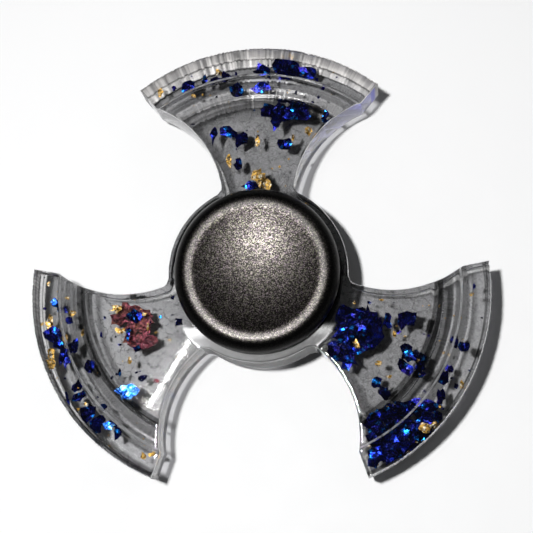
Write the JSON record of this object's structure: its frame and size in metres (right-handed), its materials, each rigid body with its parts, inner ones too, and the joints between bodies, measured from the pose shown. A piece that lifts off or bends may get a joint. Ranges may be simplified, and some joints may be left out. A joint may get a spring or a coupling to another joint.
{
  "type": "fidget spinner",
  "caption": "Palm-size fidget spinner: clear resin rotor with stepped axe-head arms and foil flakes, on a ball bearing between two dished black finger caps.",
  "frame": {"origin": "centre of the hub at the rotor's mid-thickness, on the spin axis", "axes": "+Z along the spin axis out of the front finger cap, +Y along one arm, +X to its right"},
  "size_m": [0.0754, 0.0717, 0.0164],
  "materials": {
    "clear_resin": "clear cast epoxy, faintly smoky, polished faces and finely ribbed rims, with blue, gold and copper foil flakes inside",
    "black_anodised": "bead-blasted, black anodised",
    "bearing_steel": "ground and polished bearing steel",
    "pressed_steel": "pressed sheet steel, satin"
  },
  "bodies": {
    "caps": {"cap_front": "black_anodised", "cap_back": "black_anodised", "bearing_inner_ring": "bearing_steel"},
    "rotor": {"resin_body": "clear_resin", "bearing_outer_ring": "bearing_steel", "shield_front": "pressed_steel", "shield_back": "pressed_steel"},
    "cage": {"cage_half_front": "pressed_steel", "cage_half_back": "pressed_steel", "cage_rivet_1": "pressed_steel", "cage_rivet_2": "pressed_steel", "cage_rivet_3": "pressed_steel", "cage_rivet_4": "pressed_steel", "cage_rivet_5": "pressed_steel", "cage_rivet_6": "pressed_steel", "cage_rivet_7": "pressed_steel"},
    "ball_1": {"bearing_ball_1": "bearing_steel"},
    "ball_2": {"bearing_ball_2": "bearing_steel"},
    "ball_3": {"bearing_ball_3": "bearing_steel"},
    "ball_4": {"bearing_ball_4": "bearing_steel"},
    "ball_5": {"bearing_ball_5": "bearing_steel"},
    "ball_6": {"bearing_ball_6": "bearing_steel"},
    "ball_7": {"bearing_ball_7": "bearing_steel"}
  },
  "joints": [
    {"name": "rotor_spin", "type": "hinge", "parent": "caps", "child": "rotor", "pos_m": [0, 0, 0], "axis": [0, 0, 1], "continuous": true},
    {"name": "cage_orbit", "type": "hinge", "parent": "caps", "child": "cage", "pos_m": [0, 0, 0], "axis": [0, 0, 1], "continuous": true},
    {"name": "ball_1_spin", "type": "hinge", "parent": "cage", "child": "ball_1", "pos_m": [0, 0.0075, 0], "axis": [0, 0, 1], "continuous": true},
    {"name": "ball_2_spin", "type": "hinge", "parent": "cage", "child": "ball_2", "pos_m": [-0.00586, 0.00468, 0], "axis": [0, 0, 1], "continuous": true},
    {"name": "ball_3_spin", "type": "hinge", "parent": "cage", "child": "ball_3", "pos_m": [-0.00731, -0.00167, 0], "axis": [0, 0, 1], "continuous": true},
    {"name": "ball_4_spin", "type": "hinge", "parent": "cage", "child": "ball_4", "pos_m": [-0.00325, -0.00676, 0], "axis": [0, 0, 1], "continuous": true},
    {"name": "ball_5_spin", "type": "hinge", "parent": "cage", "child": "ball_5", "pos_m": [0.00325, -0.00676, 0], "axis": [0, 0, 1], "continuous": true},
    {"name": "ball_6_spin", "type": "hinge", "parent": "cage", "child": "ball_6", "pos_m": [0.00731, -0.00167, 0], "axis": [0, 0, 1], "continuous": true},
    {"name": "ball_7_spin", "type": "hinge", "parent": "cage", "child": "ball_7", "pos_m": [0.00586, 0.00468, 0], "axis": [0, 0, 1], "continuous": true}
  ],
  "couplings": [
    {"joint": "cage_orbit", "follows": "rotor_spin", "ratio": 0.632},
    {"joint": "ball_1_spin", "follows": "rotor_spin", "ratio": 1.7619},
    {"joint": "ball_2_spin", "follows": "rotor_spin", "ratio": 1.7619},
    {"joint": "ball_3_spin", "follows": "rotor_spin", "ratio": 1.7619},
    {"joint": "ball_4_spin", "follows": "rotor_spin", "ratio": 1.7619},
    {"joint": "ball_5_spin", "follows": "rotor_spin", "ratio": 1.7619},
    {"joint": "ball_6_spin", "follows": "rotor_spin", "ratio": 1.7619},
    {"joint": "ball_7_spin", "follows": "rotor_spin", "ratio": 1.7619}
  ]
}
